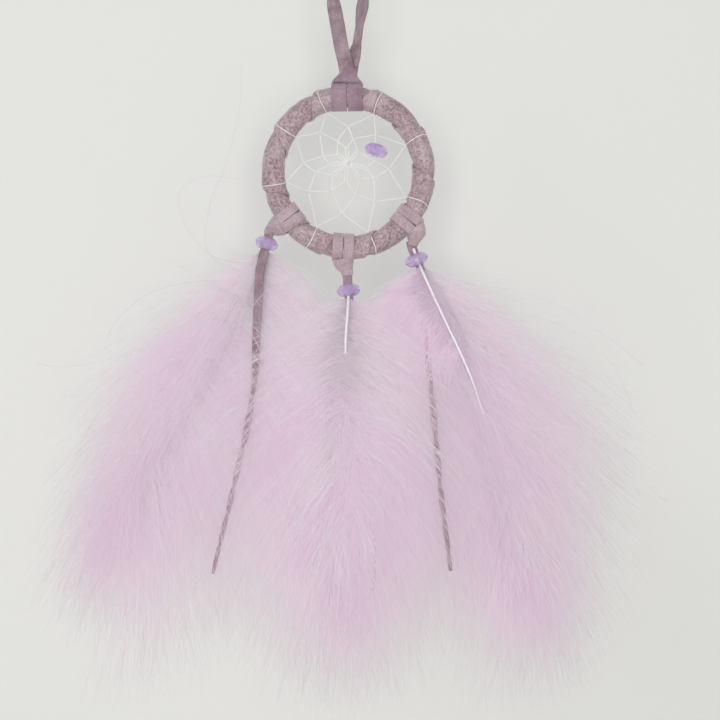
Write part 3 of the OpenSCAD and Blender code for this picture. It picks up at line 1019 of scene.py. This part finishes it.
barbs = barb_tree()
shafts = {
    "left": ((-28.9, 1.2, -27), (-31.5, 1.2, -33), (-38.9, 0.9, -46), (-55.8, 0.5, -75),
             (-68.6, 0.5, -96), (-74, 0.5, -114)),
    "middle": ((0, -1.3, -41.4), (0, -2.6, -43.8), (-0.3, -5.2, -49), (-0.9, -7, -58),
               (-1, -8.8, -72),
               (-1, -9.4, -92), (-1.5, -9.4, -112), (-3, -9, -128)),
    "right": ((22.4, -1.45, -26.4), (23.8, -1.5, -30.2), (24.8, -1.4, -32.7), (26.2, -1.2, -36.2),
              (32, 0, -49), (42.1, 0.6, -71.1), (51, 0.5, -97), (55, 0.5, -113),
              (57.6, 0.3, -134)),
}
# Per bundle: side, count, lengths, start angles, end angles, forward shift and depth.
bundles = {
    "left": ((-1, 4800, (64, 46), (62, 36), (32, 6), 1, 9),
             (1, 4800, (70, 60), (60, 4), (22, -4), -3, 10),
             (-1, 240, (72, 40), (88, 54), (50, 12), 0, 11, 0.07, 0.8),
             (1, 130, (70, 60), (66, 10), (30, -8), -11, 3, 0.12, 1.2),
             (-1, 2600, (56, 46), (40, 32), (26, 6), -1, 8)),
    "middle": ((-1, 5000, (84, 50), (74, 16), (22, 2), 3, 6),
               (1, 5000, (78, 50), (70, 12), (18, 2), 3, 6),
               (-1, 120, (80, 50), (80, 20), (34, -6), -3, 4, 0.12, 1.2),
               (1, 120, (76, 50), (80, 20), (30, -6), -3, 4, 0.12, 1.2),
               (1, 2800, (62, 48), (10, 6), (2, -4), 3, 6)),
    "right": ((1, 4800, (68, 44), (70, 32), (38, 6), 1, 9),
              (-1, 4800, (72, 46), (62, 2), (22, -2), 2, 9),
              (1, 240, (75, 43), (88, 52), (54, 14), 0, 11, 0.07, 0.8),
              (1, 130, (66, 44), (74, 36), (40, 0), -11, 3, 0.12, 1.2),
              (1, 2600, (56, 44), (32, 20), (20, 2), -1, 8)),
}
barb_width = 0.065


def barb_bundle(name, shaft, seed, side, count, lengths, starts, ends, forward, depth,
                width=barb_width, paleness=0.0):
    line = bpy.data.meshes.new(f"{name}_line")
    points = smooth_path([place(*p) for p in shaft], 4 * MM)
    line.from_pydata(points, [(i, i + 1) for i in range(len(points) - 1)], [])
    root = link(f"{name}_line", line)
    mesh = grow(root, barbs, {
        "Count": count, "Seed": seed, "Material": down, "Side": float(side),
        "Length": lengths[0] * MM, "Last Length": lengths[1] * MM,
        "Start Angle": math.radians(starts[0]), "Last Start Angle": math.radians(starts[1]),
        "End Angle": math.radians(ends[0]), "Last End Angle": math.radians(ends[1]),
        "Forward": forward * MM, "Depth": depth * MM, "Width": width * MM,
        "Paleness": paleness})
    bpy.data.objects.remove(root)
    mesh.polygons.foreach_set("use_smooth", [True] * len(mesh.polygons))
    return link(name, mesh)


# A thin veil of the right plume's barbs lies over the top of its lace.
veil_line = ((24.8, -2.6, -32.7), (26.6, -4, -38), (31.4, -5.8, -48), (37, -7.2, -60))
veil = barb_bundle("right_veil", veil_line, 31, -1, 1700, (38, 26), (58, 30), (20, 0), 0, 1.5,
                   paleness=-0.25)
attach(veil, "right_drop")

# Each shaft lies in front of its barbs by its lift, in sight only as far down as this, and
# goes behind them below it.
shaft_shown = {"left": -34, "middle": -58, "right": -74}
shaft_lift = {"left": 0, "middle": 1.5, "right": 7.4}
lift_over, sink_over = 8, 14
shaft_behind = 4
bead_half = 2
below_bead = 1.9
shaft_sizes = [1.1 * MM, 0.9 * MM, 0.6 * MM, 0.3 * MM]
for n, (side, shaft) in enumerate(shafts.items()):
    bead_z = bead_places[side][1]
    lift = shaft_lift[side]
    route = [place(x, y - lift * min(max((bead_z - bead_half - z) / lift_over, 0), 1)
                   + (lift + shaft_behind) * min(max((shaft_shown[side] - z) / sink_over, 0), 1), z)
             for x, y, z in shaft]
    path = smooth_path(route, 1.5 * MM)
    stem = sweep(f"{side}_shaft", path, shaft_sizes, shaft_sizes, (0, 0), shaft_horn,
                 section=round_section)
    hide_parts(f"{side}_quill")
    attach(stem, f"{side}_drop")
    roots = [p for p in shaft if p[2] < bead_z - below_bead]
    for k, bundle in enumerate(bundles[side]):
        fluff = barb_bundle(f"{side}_barbs_{k + 1}", roots, 10 * n + k + 1, *bundle)
        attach(fluff, f"{side}_drop")
        if k == 0:
            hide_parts(f"{side}_plume")

# Loose wisps: single long barbs that static has lifted clear of the plumes.
wisp_down, nodes, links, shader = new_material("wisp_down")
shader.inputs["Base Color"].default_value = (0.79, 0.72, 0.78, 1)
shader.inputs["Roughness"].default_value = 0.7
wisps = {
    "left": (((-29.9, -31), (-40.3, -31), (-48.6, -26.8), (-47.2, -11.2), (-41.7, 2.6),
              (-37.2, 21.6), (-36.8, 37.2)),
             ((-33, -36), (-46, -30), (-55, -20), (-58, -8), (-50, -2.2), (-38, -2.6)),
             ((-37.5, -37.2), (-54.8, -38.2), (-68.6, -42.4), (-79, -51), (-84.2, -59.7)),
             ((-46.2, -44.1), (-68.6, -59.7), (-85.9, -65.6), (-99.8, -67.3), (-107.4, -65.6)),
             ((-29.9, -51), (-37.5, -44.1), (-49.6, -37.2), (-61.7, -31))),
    "middle": (((2, -47), (14, -41), (30, -44), (42, -56)),
               ((-2, -48), (-12, -38), (-26, -40), (-37, -52))),
    "right": (((28, -40), (42, -39), (66.3, -44.1), (87, -56.2), (100.9, -66.6)),
              ((60, -78), (73.2, -85.6), (90.5, -96), (104.3, -109.9), (109.2, -113.3)),
              ((27, -38), (44, -47), (70, -52), (88, -64), (97, -80))),
}
wisp_forward = 9
wisp_sizes = [0.26 * MM, 0.12 * MM]
for n, (side, routes) in enumerate(wisps.items()):
    for k, route in enumerate(routes):
        last = len(route) - 1
        way = [place(x, 1 - (wisp_forward + 2 * n) * math.sin(math.pi * i / last * 0.8), z)
               for i, (x, z) in enumerate(route)]
        wisp = sweep(f"{side}_wisp_{k + 1}", smooth_path(way, 1.2 * MM), wisp_sizes, wisp_sizes,
                     (0, 0), wisp_down, section=round_section)
        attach(wisp, f"{side}_drop")
